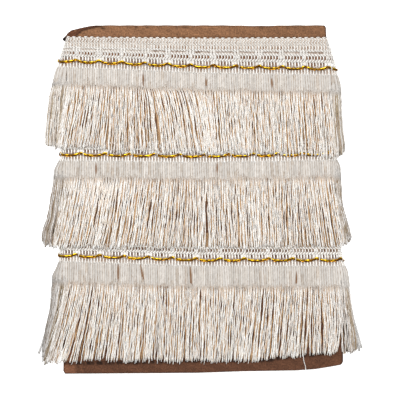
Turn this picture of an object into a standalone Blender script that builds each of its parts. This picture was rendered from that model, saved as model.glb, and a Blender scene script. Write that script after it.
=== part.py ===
"""Tassel fringe trim wound in three turns round a card, which lies on its back.

X runs to the right across the card, Y up it and Z out of its front face. Sizes are in millimetres up to
the meshes, which are in metres. The trim is one length: a crocheted heading, a gold thread couched on the
heading's lower edge, and a skirt whose strands hang from a bound strip.

A place on the winding is one number, counted in legs: the front, the right side, the back and the left side
of the lowest turn are legs 0 to 3, the next turn starts at 4, and the fraction is the share of the leg.
"below" is the distance down from the gold thread's line, and "out" the distance out from the card's face.
"""

import math
import random

import bmesh
import bpy

MM = 0.001

# The card: a hand-cut sheet, a little wider at its foot, with two corners bent back
CARD_THICKNESS = 4.4
CARD_TOP = 174.5
CARD_FOOT = -174.5
CARD_LEFT_AT_TOP = -132.7
CARD_LEFT_AT_FOOT = -137.0
CARD_RIGHT_AT_TOP = 126.0
CARD_RIGHT_AT_FOOT = 144.2
CARD_FOOT_SLANT = 1.0
CARD_FOOT_CURL = 6.5
CARD_CORNER_CUT = 1.2
# The card falls back past the line from start to end, on its right, by fall for each millimetre
BENT_CORNERS = (
    {"start": (-102, 175), "end": (-133, 165), "fall": 0.38},
    {"start": (112, -171), "end": (145, -146), "fall": 0.24},
)
CARD_COLUMNS = (0, 0.015, 0.05, 0.12, 0.3, 0.5, 0.7, 0.85, 0.93, 0.97, 0.985, 1)
CARD_ROWS = (0, 0.012, 0.03, 0.06, 0.1, 0.3, 0.6, 0.9, 0.972, 0.986, 1)

# The winding, from the floor up: flat strands, the card, the front layers
FLOOR_TO_CARD = 5.6
PIECE_GAP = 0.3

# One row for each turn, the lowest first. Heights are on the card; the heading rises over the gold thread's
# line and the rest hangs under it. The drifts are how far the strand tips lean to the right.
TURNS = (
    {
        "gold_left": -55.5, "gold_middle": -60.0, "gold_right": -60.0,
        "heading_left": 28.0, "heading_right": 28.0, "bound": 28.0,
        "tip_left": 97.0, "tip_middle": 104.5, "tip_right": 95.0,
        "drift_left": -11.0, "drift_middle": -2.0, "drift_right": 5.0,
    },
    {
        "gold_left": 45.5, "gold_middle": 43.8, "gold_right": 46.0,
        "heading_left": 28.0, "heading_right": 28.0, "bound": 24.0,
        "tip_left": 91.0, "tip_middle": 93.0, "tip_right": 88.0,
        "drift_left": -8.0, "drift_middle": -1.0, "drift_right": 4.0,
    },
    {
        "gold_left": 139.0, "gold_middle": 133.5, "gold_right": 131.2,
        "heading_left": 24.0, "heading_right": 30.0, "bound": 24.5,
        "tip_left": 87.0, "tip_middle": 89.0, "tip_right": 88.0,
        "drift_left": -4.0, "drift_middle": 0.0, "drift_right": 2.0,
    },
)
FRONT, RIGHT_SIDE, BACK, LEFT_SIDE = range(4)
TAIL = 0.17
BACK_STEPS = 12
SIDE_STEPS = 6
LEAN_CURVE = 1.3

# How far the trim stands off the card's side edges, to its outer face
HEADING_TOP_BULGE = 2.0
HEADING_BULGE_CURVE = 1.3
BULGES = (
    {"below": 0.0, "left": 8.0, "right": 8.3},
    {"below": 26.0, "left": 14.0, "right": 11.5},
    {"below": 52.0, "left": 17.0, "right": 12.8},
    {"below": 78.0, "left": 21.0, "right": 15.5},
    {"below": 106.0, "left": 24.5, "right": 19.5},
)

# The heading's outer face, across the band: a share of the way from its top edge to the gold thread's channel
HEADING_PROFILE = (
    {"share": 0.0, "out": 1.4},
    {"share": 0.08, "out": 2.1},
    {"share": 0.32, "out": 2.1},
    {"share": 0.42, "out": 1.5},
    {"share": 0.52, "out": 1.9},
    {"share": 0.90, "out": 2.1},
)
SHELLS = 12
SHELL_DIP = 0.35
SHELL_SHARES = (0.5, 0.95)
CHANNEL_OUT = 1.5
CHANNEL_ABOVE = 2.5
CHANNEL_BELOW = 2.6
NOMINAL_OUT = 2.1

# The gold thread, which sags between short crests where it is stitched down
GOLD_RADIUS = 0.7
GOLD_WAVE = (1.5, -0.5, -1.2, -0.5)
GOLD_WAVES = {FRONT: 12, RIGHT_SIDE: 1, BACK: 12, LEFT_SIDE: 1}
GOLD_STEPS_A_SIDE_WAVE = 8

# The skirt: a bound strip, and locks of strands that stand apart below it
STRIP_OUT = 1.9
LOCKS = {FRONT: 56, RIGHT_SIDE: SIDE_STEPS, BACK: 32, LEFT_SIDE: SIDE_STEPS}
LOCK_WIDTHS = (0.43, 0.41, 0.39, 0.26)
LOCK_STRAY = 0.05
LOCK_UNEVEN = 0.16
LOCK_SLIMMER = 0.18
LOCK_LOWER = 0.7
STRIP_UNEVEN = 1.2
TIP_UNEVEN = 3.0
# The sections of a lock where it lies over the next turn's heading, on the bare card, and under the card
LOCK_LAYERS = {
    "over_heading": (
        {"below": 38, "inner": 1.3, "outer": 3.5},
        {"below": 52, "inner": 2.7, "outer": 5.0},
        {"below": 78, "inner": 3.6, "outer": FLOOR_TO_CARD},
        {"below": None, "inner": 3.8, "outer": 5.5},
    ),
    "over_card": (
        {"below": 42, "inner": 0.5, "outer": 2.8},
        {"below": 58, "inner": 0.6, "outer": 3.2},
        {"below": 82, "inner": 0.6, "outer": 3.3},
        {"below": None, "inner": 0.5, "outer": 2.4},
    ),
    "under_card": (
        {"below": 38, "inner": 3.4, "outer": FLOOR_TO_CARD},
        {"below": 52, "inner": 3.6, "outer": FLOOR_TO_CARD},
        {"below": 78, "inner": 3.6, "outer": FLOOR_TO_CARD},
        {"below": None, "inner": 3.6, "outer": FLOOR_TO_CARD},
    ),
}

COLOURS = {
    "card": {"colour": (0.31, 0.165, 0.09), "roughness": 0.85, "metallic": 0.0},
    "heading": {"colour": (0.72, 0.66, 0.58), "roughness": 0.9, "metallic": 0.0},
    "gold_thread": {"colour": (0.75, 0.52, 0.06), "roughness": 0.32, "metallic": 0.9},
    "fringe": {"colour": (0.70, 0.63, 0.54), "roughness": 0.92, "metallic": 0.0},
}


def mix(low, high, share):
    return low + (high - low) * share


def ease(share):
    return share * share * (3 - 2 * share)


def from_rows(rows, key, value, column):
    """A table's column, read at a value of its key and straight between its rows."""
    if value <= rows[0][key]:
        return rows[0][column]
    for low, high in zip(rows, rows[1:]):
        if value <= high[key]:
            return mix(low[column], high[column], (value - low[key]) / (high[key] - low[key]))
    return rows[-1][column]


# The card's outline


def card_left(y):
    return mix(CARD_LEFT_AT_FOOT, CARD_LEFT_AT_TOP, (y - CARD_FOOT) / (CARD_TOP - CARD_FOOT))


def card_right(y):
    return mix(CARD_RIGHT_AT_FOOT, CARD_RIGHT_AT_TOP, (y - CARD_FOOT) / (CARD_TOP - CARD_FOOT))


def card_foot(share):
    return CARD_FOOT + CARD_FOOT_SLANT * share + CARD_FOOT_CURL * share ** 4


# The winding


def split(place):
    """A place on the winding as its turn, leg and share of the leg."""
    whole = math.floor(place)
    turn, leg = divmod(whole, 4)
    return turn, leg, place - whole


def turn_value(place, name):
    """A column of TURNS along the winding: straight over a front, eased over a back, even round the sides."""
    turn, leg, share = split(place)
    here = TURNS[min(max(turn, 0), len(TURNS) - 1)]
    after = TURNS[min(max(turn + 1, 0), len(TURNS) - 1)]
    if f"{name}_left" not in here:
        left, middle, right, next_left = here[name], here[name], here[name], after[name]
    else:
        left, right, next_left = here[f"{name}_left"], here[f"{name}_right"], after[f"{name}_left"]
        middle = here.get(f"{name}_middle", (left + right) / 2)
    if turn < 0:
        return left
    if leg == FRONT:
        return mix(left, middle, 2 * share) if share < 0.5 else mix(middle, right, 2 * share - 1)
    if leg == RIGHT_SIDE or turn == len(TURNS) - 1:
        return right
    if leg == LEFT_SIDE:
        return next_left
    low = math.floor(share * BACK_STEPS) / BACK_STEPS
    high = low + 1 / BACK_STEPS
    eased = mix(ease(low), ease(min(high, 1)), (share - low) * BACK_STEPS)
    return mix(right, next_left, eased)


def bulge(side, below, heading):
    """How far the trim's outer face stands off a side edge."""
    level = from_rows(BULGES, "below", max(below, 0), side)
    if below >= 0:
        return level
    return mix(level, HEADING_TOP_BULGE, min(-below / heading, 1) ** HEADING_BULGE_CURVE)


def drift(place, below):
    """How far to the right the strands have leant at a distance below the gold thread."""
    bound = turn_value(place, "bound")
    tip = turn_value(place, "tip")
    return turn_value(place, "drift") * (max(below - bound, 0) / (tip - bound)) ** LEAN_CURVE


def on_winding(place, below, out, outer):
    """The point that lies out from the card's face, or that far within the bulge where the trim passes an edge.

    outer is what out is on the trim's outer face there.
    """
    leg, share = split(place)[1:]
    y = turn_value(place, "gold") - below
    left = card_left(y)
    right = card_right(y)
    lean = drift(place, below)
    half = CARD_THICKNESS / 2
    middle = FLOOR_TO_CARD + half
    if leg == FRONT:
        return mix(left, right, share) + lean, y, middle + half + out
    if leg == BACK:
        return mix(right, left, share) + lean, y, middle - half - out
    angle = math.pi * share
    heading = turn_value(place, "heading")
    if leg == RIGHT_SIDE:
        wide = bulge("right", below, heading) - lean + out - outer
        return right + lean + wide * math.sin(angle), y, middle + (half + out) * math.cos(angle)
    wide = bulge("left", below, heading) + lean + out - outer
    return left + lean - wide * math.sin(angle), y, middle - (half + out) * math.cos(angle)


def places(steps):
    """Places along the whole trim, with that many steps to each kind of leg."""
    found = []
    first_leg = -2
    last_leg = 4 * len(TURNS) - 2
    for whole in range(first_leg, last_leg + 1):
        count = steps[whole % 4]
        for i in range(count):
            share = i / count
            if whole == first_leg and share < 1 - TAIL:
                continue
            if whole == last_leg and share > TAIL:
                continue
            found.append(whole + share)
    return found


# The pieces


def finish(name, mesh, location=(0, 0, 0)):
    """A new object in the model's collection, in its own material."""
    look = COLOURS[name]
    material = bpy.data.materials.new(name)
    material.use_nodes = True
    shader = material.node_tree.nodes["Principled BSDF"]
    shader.inputs["Base Color"].default_value = (*look["colour"], 1)
    shader.inputs["Roughness"].default_value = look["roughness"]
    shader.inputs["Metallic"].default_value = look["metallic"]
    mesh.materials.append(material)
    piece = bpy.data.objects.new(name, mesh)
    piece.location = location
    bpy.data.collections["tassel_fringe_trim"].objects.link(piece)
    return piece


def mesh_from(name, points, faces):
    """A closed mesh in metres from points in millimetres, with its faces turned outwards."""
    bm = bmesh.new()
    made = [bm.verts.new([MM * value for value in point]) for point in points]
    for face in faces:
        bm.faces.new([made[i] for i in face])
    bmesh.ops.recalc_face_normals(bm, faces=bm.faces)
    mesh = bpy.data.meshes.new(name)
    bm.to_mesh(mesh)
    bm.free()
    return mesh


def fall(x, y):
    """How far a bent corner falls back at a point of the card."""
    depth = 0.0
    for fold in BENT_CORNERS:
        along = (fold["end"][0] - fold["start"][0], fold["end"][1] - fold["start"][1])
        away = (x - fold["start"][0]) * along[1] - (y - fold["start"][1]) * along[0]
        depth += fold["fall"] * max(away / math.hypot(*along), 0)
    return depth


def make_card():
    """A grid drawn to the card's outline with its corners cut and bent, given its thickness by Solidify."""
    bm = bmesh.new()
    columns = len(CARD_COLUMNS)
    rows = len(CARD_ROWS)
    bmesh.ops.create_grid(bm, x_segments=columns - 1, y_segments=rows - 1, size=1)
    for vert in bm.verts:
        column = round((vert.co.x + 1) / 2 * (columns - 1))
        row = round((vert.co.y + 1) / 2 * (rows - 1))
        across = CARD_COLUMNS[column]
        y = mix(card_foot(across), CARD_TOP, CARD_ROWS[row])
        x = mix(card_left(y), card_right(y), across)
        if column in (0, columns - 1) and row in (0, rows - 1):
            x += CARD_CORNER_CUT * (1 if column == 0 else -1)
            y += CARD_CORNER_CUT * (1 if row == 0 else -1)
        vert.co = (MM * x, MM * y, -MM * fall(x, y))
    mesh = bpy.data.meshes.new("card")
    bm.to_mesh(mesh)
    bm.free()
    piece = finish("card", mesh, (0, 0, MM * (FLOOR_TO_CARD + CARD_THICKNESS)))
    board = piece.modifiers.new("board", "SOLIDIFY")
    board.thickness = MM * CARD_THICKNESS
    board.offset = -1


def heading_section(place, between_shells):
    """The heading's section as (below, out) pairs, round from the inner face's top."""
    height = turn_value(place, "heading")
    section = [(-height, PIECE_GAP)]
    for row in HEADING_PROFILE:
        on_shells = SHELL_SHARES[0] <= row["share"] <= SHELL_SHARES[1]
        dip = SHELL_DIP if between_shells and on_shells else 0
        section.append((mix(-height, -CHANNEL_ABOVE, row["share"]), row["out"] - dip))
    section.append((-CHANNEL_ABOVE, CHANNEL_OUT))
    section.append((CHANNEL_BELOW, CHANNEL_OUT))
    section.append((CHANNEL_BELOW, PIECE_GAP))
    return section


def make_heading():
    """The crocheted band, a loft along the winding with dips between its shells on the fronts."""
    steps = {FRONT: 2 * SHELLS, RIGHT_SIDE: SIDE_STEPS, BACK: BACK_STEPS, LEFT_SIDE: SIDE_STEPS}
    points = []
    for place in places(steps):
        leg, share = split(place)[1:]
        between_shells = leg == FRONT and round(share * steps[FRONT]) % 2 == 1
        section = heading_section(place, between_shells)
        points += [on_winding(place, below, out, NOMINAL_OUT) for below, out in section]
    size = len(section)
    last = len(points) - size
    faces = [tuple(range(size)), tuple(range(last, last + size))]
    for first in range(0, last, size):
        for k in range(size):
            after = (k + 1) % size
            faces.append((first + k, first + after, first + size + after, first + size + k))
    finish("heading", mesh_from("heading", points, faces))


def gold_path():
    """The points that the gold thread follows."""
    per_wave = len(GOLD_WAVE)
    out = CHANNEL_OUT + PIECE_GAP + GOLD_RADIUS
    steps = {leg: per_wave * waves for leg, waves in GOLD_WAVES.items()}
    steps[RIGHT_SIDE] = GOLD_STEPS_A_SIDE_WAVE
    steps[LEFT_SIDE] = GOLD_STEPS_A_SIDE_WAVE
    path = []
    for place in places(steps):
        leg, share = split(place)[1:]
        wave = share * GOLD_WAVES[leg] * per_wave
        low = int(wave) % per_wave
        rise = mix(GOLD_WAVE[low], GOLD_WAVE[(low + 1) % per_wave], wave - int(wave))
        path.append(on_winding(place, -rise, out, NOMINAL_OUT))
    return path


def make_gold_thread():
    path = gold_path()
    curve = bpy.data.curves.new("gold_thread", "CURVE")
    curve.dimensions = "3D"
    curve.bevel_depth = MM * GOLD_RADIUS
    curve.bevel_resolution = 0
    curve.use_fill_caps = True
    spline = curve.splines.new("POLY")
    spline.points.add(len(path) - 1)
    for point, place in zip(spline.points, path):
        point.co = (*(MM * value for value in place), 1)
    finish("gold_thread", curve)


def lock_edges(chance):
    """The places where one lock ends and the next begins, a little uneven on the fronts."""
    edges = places(LOCKS)
    for i, place in enumerate(edges):
        leg, share = split(place)[1:]
        if leg == FRONT and share > 0:
            edges[i] = place + chance.uniform(-LOCK_UNEVEN, LOCK_UNEVEN) / LOCKS[FRONT]
    return edges


def layers_at(place):
    """The lock sections at a place: the table's own on a front or back, and between them round a side."""
    leg, share = split(place)[1:]
    over = LOCK_LAYERS["over_card" if place < BACK else "over_heading"]
    under = LOCK_LAYERS["under_card"]
    part_under = {FRONT: 0, RIGHT_SIDE: share, BACK: 1, LEFT_SIDE: 1 - share}[leg]
    tip = turn_value(place, "tip")
    return [
        {
            "below": tip if a["below"] is None else a["below"],
            "inner": mix(a["inner"], b["inner"], part_under),
            "outer": mix(a["outer"], b["outer"], part_under),
        }
        for a, b in zip(over, under)
    ]


def add_lock(points, faces, root, place, wide, chance):
    """Draws one lock out of the strip's lower edge at root, in the space wide that it has round its place."""
    under_card = split(place)[1] == BACK
    on_front = split(place)[1] == FRONT
    uneven = chance.uniform(-TIP_UNEVEN, TIP_UNEVEN)
    stray = chance.uniform(-LOCK_STRAY, LOCK_STRAY)
    slim = 1 - chance.uniform(0, LOCK_SLIMMER)
    lower = chance.uniform(0, LOCK_LOWER) if on_front else 0
    sections = list(zip(layers_at(place), LOCK_WIDTHS))
    if under_card:
        sections = [sections[0], sections[-1]]
    for depth, (section, half) in enumerate(sections, 1):
        below = section["below"] + (uneven if depth == len(sections) else 0)
        centre = place + stray * wide * depth / len(sections)
        reach = half * slim * wide
        inner = section["inner"]
        outer = section["outer"] - lower
        ring = tuple(range(len(points), len(points) + 4))
        for side, out in ((-reach, inner), (-reach, outer), (reach, outer), (reach, inner)):
            points.append(on_winding(centre + side, below, out, section["outer"]))
        for k in range(4):
            faces.append((root[k], root[(k + 1) % 4], ring[(k + 1) % 4], ring[k]))
        root = ring
    faces.append(root)


def make_fringe():
    """The bound strip, with a lock drawn out of its lower edge between each two of its edges."""
    chance = random.Random(4)
    edges = lock_edges(chance)
    points = []
    top = CHANNEL_BELOW + PIECE_GAP
    for place in edges:
        foot = turn_value(place, "bound") + chance.uniform(-STRIP_UNEVEN, STRIP_UNEVEN)
        for below, out in ((top, PIECE_GAP), (top, STRIP_OUT), (foot, STRIP_OUT), (foot, PIECE_GAP)):
            points.append(on_winding(place, below, out, STRIP_OUT))
    last = len(points) - 4
    faces = [(0, 1, 2, 3), (last, last + 1, last + 2, last + 3)]
    for i in range(len(edges) - 1):
        here = 4 * i
        after = here + 4
        for k in (0, 1, 3):
            faces.append((here + k, here + (k + 1) % 4, after + (k + 1) % 4, after + k))
        root = (here + 3, here + 2, after + 2, after + 3)
        wide = edges[i + 1] - edges[i]
        add_lock(points, faces, root, edges[i] + wide / 2, wide, chance)
    finish("fringe", mesh_from("fringe", points, faces))


def stand_on_origin(pieces):
    """Moves every piece together, so that the origin is under the middle of the whole, on the floor."""
    bpy.context.view_layer.update()
    corners = []
    for piece in pieces:
        shown = piece.evaluated_get(bpy.context.evaluated_depsgraph_get())
        corners += [shown.matrix_world @ vert.co for vert in shown.to_mesh().vertices]
        shown.to_mesh_clear()
    low = [min(corner[k] for corner in corners) for k in range(3)]
    high = [max(corner[k] for corner in corners) for k in range(3)]
    for piece in pieces:
        piece.location.x -= (low[0] + high[0]) / 2
        piece.location.y -= (low[1] + high[1]) / 2
        piece.location.z -= low[2]


def main():
    for piece in list(bpy.data.objects):
        bpy.data.objects.remove(piece)
    model = bpy.data.collections.new("tassel_fringe_trim")
    bpy.context.scene.collection.children.link(model)
    make_card()
    make_heading()
    make_gold_thread()
    make_fringe()
    stand_on_origin(list(model.objects))


main()
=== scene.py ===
"""The look of a tassel fringe trim that is wound in three turns round a corrugated card.

X runs to the right across the card, Y up it and Z out of its front face. Sizes are in millimetres up to the
meshes, which are in metres. A point on the trim is (s, below, out): s runs along the whole trim, below is the
distance down from the gold thread's line, and out the distance out from the card's face. A place on the
winding is counted in legs, as in the solids: the front, right side, back and left side of the lowest turn are
legs 0 to 3, and the next turn starts at 4.
"""

import math

import bpy
import numpy as np
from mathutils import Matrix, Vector


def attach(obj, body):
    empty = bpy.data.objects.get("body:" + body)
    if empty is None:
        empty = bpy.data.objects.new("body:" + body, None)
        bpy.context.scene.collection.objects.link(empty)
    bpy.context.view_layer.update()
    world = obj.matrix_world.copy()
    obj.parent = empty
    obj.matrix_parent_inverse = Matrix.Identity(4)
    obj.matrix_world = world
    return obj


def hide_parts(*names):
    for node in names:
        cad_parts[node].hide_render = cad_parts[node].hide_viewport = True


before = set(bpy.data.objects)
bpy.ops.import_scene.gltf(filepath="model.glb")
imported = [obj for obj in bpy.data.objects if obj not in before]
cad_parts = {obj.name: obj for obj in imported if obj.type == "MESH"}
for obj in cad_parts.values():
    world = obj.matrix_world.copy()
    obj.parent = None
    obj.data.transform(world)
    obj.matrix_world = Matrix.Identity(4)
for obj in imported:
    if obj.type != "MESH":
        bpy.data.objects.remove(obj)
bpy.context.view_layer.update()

MM = 0.001
# From the card's middle to the frame's origin
SHIFT = (-0.661, -0.008)

# The card
CARD_THICKNESS = 4.4
CARD_TOP = 174.5
CARD_FOOT = -174.5
CARD_LEFT = (-137.0, -132.7)
CARD_RIGHT = (144.2, 126.0)
# The card's foot from left to right: the share across, and how high it is
CARD_FOOT_LINE = (
    (0, 0.48, 0.65, 0.84, 0.91, 0.965, 1),
    (-174.5, -173.6, -172.0, -171.2, -169.8, -167.6, -166.0),
)
BENT_CORNERS = (
    {"start": (-102, 175), "end": (-133, 165), "fall": 0.38},
    {"start": (112, -171), "end": (145, -146), "fall": 0.24},
)
FLOOR_TO_CARD = 5.6
# The least height of anything over the surface that the card lies on
LOWEST = 0.05
# How thick the paper of its two faces and of its flutes is, and how far apart the flutes are
LINER = 0.5
FLUTE_PAPER = 0.3
FLUTE_PITCH = 7.8

# The winding, one row for each turn, the lowest first
TURNS = (
    {
        "gold": (-55.5, -60.0, -60.0), "heading": (28.0, 28.0, 28.0), "bound": (28.0, 28.0, 28.0),
        "tip": (97.0, 104.5, 95.0), "drift": (-11.0, -2.0, 5.0),
    },
    {
        "gold": (45.5, 43.8, 46.0), "heading": (28.0, 28.0, 28.0), "bound": (24.0, 24.0, 24.0),
        "tip": (91.0, 93.0, 88.0), "drift": (-8.0, -1.0, 4.0),
    },
    {
        "gold": (139.0, 133.5, 131.2), "heading": (24.6, 28.9, 32.0), "bound": (24.5, 24.5, 24.5),
        "tip": (87.0, 89.0, 88.0), "drift": (-4.0, 0.0, 2.0),
    },
)
FRONT, RIGHT_SIDE, BACK, LEFT_SIDE = range(4)
TAIL = 0.17
BACK_STEPS = 12
LEAN_CURVE = 1.3
SIDE_LENGTH = 22.0
# How far each turn stands off the card's side edges: distances down, and how far
BULGES = (
    {
        "left": (
            (0, 7, 12, 20, 35, 55, 70, 85, 99, 108),
            (5.8, 6.6, 8.6, 12.7, 13.3, 14.8, 18.0, 21.2, 24.0, 25.0),
        ),
        "right": ((0, 3, 12, 25, 40, 60, 75, 88, 100), (5.2, 5.8, 10.0, 10.6, 11.0, 12.9, 15.0, 15.8, 16.0)),
    },
    {
        "left": ((0, 3, 15, 31, 41, 64, 78, 91, 100), (5.5, 6.0, 12.1, 13.0, 14.6, 18.5, 23.2, 25.0, 25.5)),
        "right": ((0, 7, 13, 31, 51, 61, 88, 100), (4.6, 5.2, 7.8, 7.6, 7.8, 10.4, 16.2, 18.0)),
    },
    {
        "left": ((0, 11, 19, 27, 37, 59, 79, 88, 100), (8.2, 12.4, 14.4, 15.9, 18.0, 20.0, 21.6, 22.8, 23.5)),
        "right": ((0, 8, 14, 20, 39, 62, 78, 89, 100), (8.3, 10.3, 12.0, 12.7, 11.6, 11.9, 13.5, 13.2, 13.5)),
    },
)
HEADING_TOP_BULGE = 0.4
HEADING_BULGE_CURVE = 1.3
HEADING_OUT = 2.1
BAND_OUT = 1.75
# The space of the loose strands: over the bare card, over the next turn's heading, and under the card
LAYERS = {
    "over_card": {
        "below": (28, 42, 58, 82, 104),
        "inner": (0.3, 0.5, 0.6, 0.6, 0.5), "outer": (1.9, 2.8, 3.2, 3.3, 2.6),
    },
    "over_heading": {
        "below": (24, 38, 52, 78, 91),
        "inner": (0.3, 1.3, 2.7, 3.6, 3.8), "outer": (1.9, 3.5, 5.0, 5.6, 5.5),
    },
    "under_card": {
        "below": (24, 38, 52, 78, 100),
        "inner": (0.3, 3.0, 3.4, 3.4, 3.4), "outer": (1.9, 5.2, 5.2, 5.2, 5.2),
    },
}

# The gold thread's waves: on each front, how far the first crest is from the card's edge, and the pitch
CRESTS = ((11.5, 24.1), (14.8, 24.7), (9.3, 22.9))
CRESTS_A_FRONT = 11
WAVE = 23.0
# The waves run on for this many past the first and the last crest of the fronts
WAVES_BEYOND = 20
# How near to a crest the thread rises to it, as a share of a wave
CREST_WIDTH = 0.13
# The height of a heading at which its rows of stitches were read from the photograph
FULL_HEADING = 29.5

# How the strands of each turn lean by their tips: the share of the front, which goes on past its ends
# round the sides, and how many millimetres to the right
LEANS = (
    (
        (-0.5, 2), (0, -6), (0.08, -6), (0.15, -1), (0.25, 0), (0.35, 0), (0.5, -2), (0.6, -5), (0.7, -11),
        (0.8, -9), (0.88, -11), (0.93, -5), (0.95, -5), (0.975, -9), (0.999, -10), (1.001, -6), (1.03, -5),
        (1.1, -1), (1.5, 3),
    ),
    (
        (-0.5, 0), (-0.05, 0), (0, -4), (0.12, -5), (0.2, -7), (0.3, -6), (0.42, -5), (0.5, 0), (0.7, 0),
        (0.8, -4), (0.88, 0), (0.95, 3), (1, 4), (1.05, 0), (1.5, 0),
    ),
    (
        (-0.5, 0), (-0.05, 0), (0, -5), (0.1, -5), (0.2, -1), (0.25, 1), (0.32, 11), (0.36, 13), (0.41, 10),
        (0.46, 12), (0.55, 5), (0.7, -1), (1, 0), (1.5, 0),
    ),
)
# The tips of each turn's strands over the front: share of the front, and how far down they hang
TIPS = (
    ((-0.5, 99), (-0.35, 101), (-0.15, 109), (0, 111), (0.05, 108), (0.1, 105.5), (0.3, 104.5), (0.5, 103),
     (0.74, 102.5), (0.79, 99), (0.88, 97.5), (0.96, 94.5), (1, 93.5)),
    ((0, 94.5), (0.5, 94), (1, 94)),
    ((0, 88), (0.15, 88.5), (0.2, 90.5), (0.35, 89), (0.8, 87.5), (1, 90)),
)


def mix(low, high, share):
    return low + (high - low) * share


def ease(share):
    return share * share * (3 - 2 * share)


def hill(x, middle, width, power=2):
    """1 at the middle and near 0 two widths from it. A higher power has a flatter top."""
    return np.exp(-(((x - middle) / width) ** power))


def value_at(table, x):
    """What a table of (place, value) pairs says at x."""
    return np.interp(x, *zip(*table, strict=True))


# The winding


def card_left(y):
    return mix(CARD_LEFT[0], CARD_LEFT[1], (y - CARD_FOOT) / (CARD_TOP - CARD_FOOT))


def card_right(y):
    return mix(CARD_RIGHT[0], CARD_RIGHT[1], (y - CARD_FOOT) / (CARD_TOP - CARD_FOOT))


def knots(name):
    """The places at which a column of TURNS bends, and its values there."""
    places = [-2.0, 0.0]
    values = [TURNS[0][name][0]] * 2
    for turn, row in enumerate(TURNS):
        left, middle, right = row[name]
        start = 4 * turn
        places += [start + 0.001, start + 0.5, start + 1, start + 2]
        values += [left, middle, right, right]
        last = turn == len(TURNS) - 1
        after = right if last else TURNS[turn + 1][name][0]
        for i in range(1, BACK_STEPS + 1):
            places.append(start + 2 + i / BACK_STEPS)
            values.append(mix(right, after, ease(i / BACK_STEPS)))
        places.append(start + 4)
        values.append(after)
    return np.array(places), np.array(values)


KNOTS = {name: knots(name) for name in TURNS[0]}


def turn_value(place, name):
    return np.interp(place, *KNOTS[name])


def leg_lengths():
    """The trim's length up to each whole place, in millimetres, from 0 at place 0."""
    places = list(range(-2, 4 * len(TURNS) + 1))
    marks = [0.0]
    for place in places[:-1]:
        y = float(turn_value(place + 0.5, "gold"))
        flat = place % 4 in (FRONT, BACK)
        marks.append(marks[-1] + (card_right(y) - card_left(y) if flat else SIDE_LENGTH))
    start = marks[2]
    return np.array(places, float), np.array(marks) - start


LEG_PLACES, LEG_MARKS = leg_lengths()


def place_of(s):
    return np.interp(s, LEG_MARKS, LEG_PLACES)


def leg_of(place):
    return np.floor(place).astype(int) % 4


def length_at(place):
    return float(np.interp(place, LEG_PLACES, LEG_MARKS))


TRIM_START = length_at(-2 + 1 - TAIL)
TRIM_END = length_at(4 * len(TURNS) - 2 + TAIL)


def to_metres(x, y, z):
    """Points in the frame from millimetres in the card's own axes."""
    return np.stack([MM * (x + SHIFT[0]), MM * (y + SHIFT[1]), MM * z], -1)


def bulge(side, place, below, heading):
    """How far the trim's outer face stands off a side edge."""
    turn = np.clip(np.floor(place / 4).astype(int) + (side == "left"), 0, len(TURNS) - 1)
    levels = [np.interp(np.maximum(below, 0), *row[side]) for row in BULGES]
    level = np.choose(np.broadcast_to(turn, below.shape), levels)
    share = np.clip(-below / heading, 0, 1) ** HEADING_BULGE_CURVE
    return np.where(below >= 0, level, mix(level, HEADING_TOP_BULGE, share))


def winding(s, below, out, outer):
    """The points, in metres, at arrays of lengths along the trim, distances down and distances out.

    outer is what out is on the trim's outer face there.
    """
    place = place_of(s)
    leg = leg_of(place)
    share = place - np.floor(place)
    y = turn_value(place, "gold") - below
    left = card_left(y)
    right = card_right(y)
    bound = turn_value(place, "bound")
    reach = np.maximum(below - bound, 0) / (turn_value(place, "tip") - bound)
    lean = turn_value(place, "drift") * reach ** LEAN_CURVE
    half = CARD_THICKNESS / 2
    middle = FLOOR_TO_CARD + half
    heading = turn_value(place, "heading")
    angle = math.pi * share
    wide_right = bulge("right", place, below, heading) - lean + out - outer
    wide_left = bulge("left", place, below, heading) + lean + out - outer
    x = np.select(
        [leg == FRONT, leg == BACK, leg == RIGHT_SIDE],
        [
            mix(left, right, share) + lean,
            mix(right, left, share) + lean,
            right + lean + wide_right * np.sin(angle),
        ],
        left + lean - wide_left * np.sin(angle),
    )
    z = np.select(
        [leg == FRONT, leg == BACK, leg == RIGHT_SIDE],
        [middle + half + out, middle - half - out, middle + (half + out) * np.cos(angle)],
        middle - (half + out) * np.cos(angle),
    )
    return to_metres(x, y, np.maximum(z, LOWEST))


def wave_phase(s):
    """How many waves of the gold thread there are up to s. Whole numbers are crests."""
    marks = []
    counts = []
    count = 0
    for turn, (first, pitch) in enumerate(CRESTS):
        start = length_at(4 * turn) + first
        if marks:
            count += max(round((start - marks[-1]) / WAVE), 1)
        marks += [start, start + CRESTS_A_FRONT * pitch]
        counts += [count, count + CRESTS_A_FRONT]
        count += CRESTS_A_FRONT
    before = marks[0] - WAVES_BEYOND * WAVE
    after = marks[-1] + WAVES_BEYOND * WAVE
    counts = [counts[0] - WAVES_BEYOND, *counts, counts[-1] + WAVES_BEYOND]
    return np.interp(s, [before, *marks, after], counts)


def crest_distance(s):
    """How far each length is from the nearest crest of the gold thread, as a share of a wave."""
    phase = wave_phase(s)
    return np.abs(phase - np.round(phase))


def gold_rise(s):
    """How far the gold thread is above its line: long sags between short crests."""
    away = crest_distance(s)
    return -1.3 + 0.9 * np.cos(math.pi * away) ** 2 + 1.7 * hill(away, 0, CREST_WIDTH)


def below_of(s, height):
    """The distance down of a row of stitches, from its height over the gold thread in a full heading."""
    scale = turn_value(place_of(s), "heading") / FULL_HEADING
    return np.where(height > 0, -height * scale, -height)


def waver(s, seed, waves):
    """A smooth random wave along s: waves is a list of (wavelength, amplitude)."""
    chance = np.random.default_rng(seed)
    total = np.zeros(np.shape(s))
    for length, height in waves:
        turn = chance.uniform(0, 2 * math.pi)
        slow = chance.uniform(0, 2 * math.pi)
        total += height * np.sin(2 * math.pi * s / length + turn + 1.7 * np.sin(s / (2.3 * length) + slow))
    return total


# Meshes. A batch is points, quads, a map for each corner or None, and a colour for each point.


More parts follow.
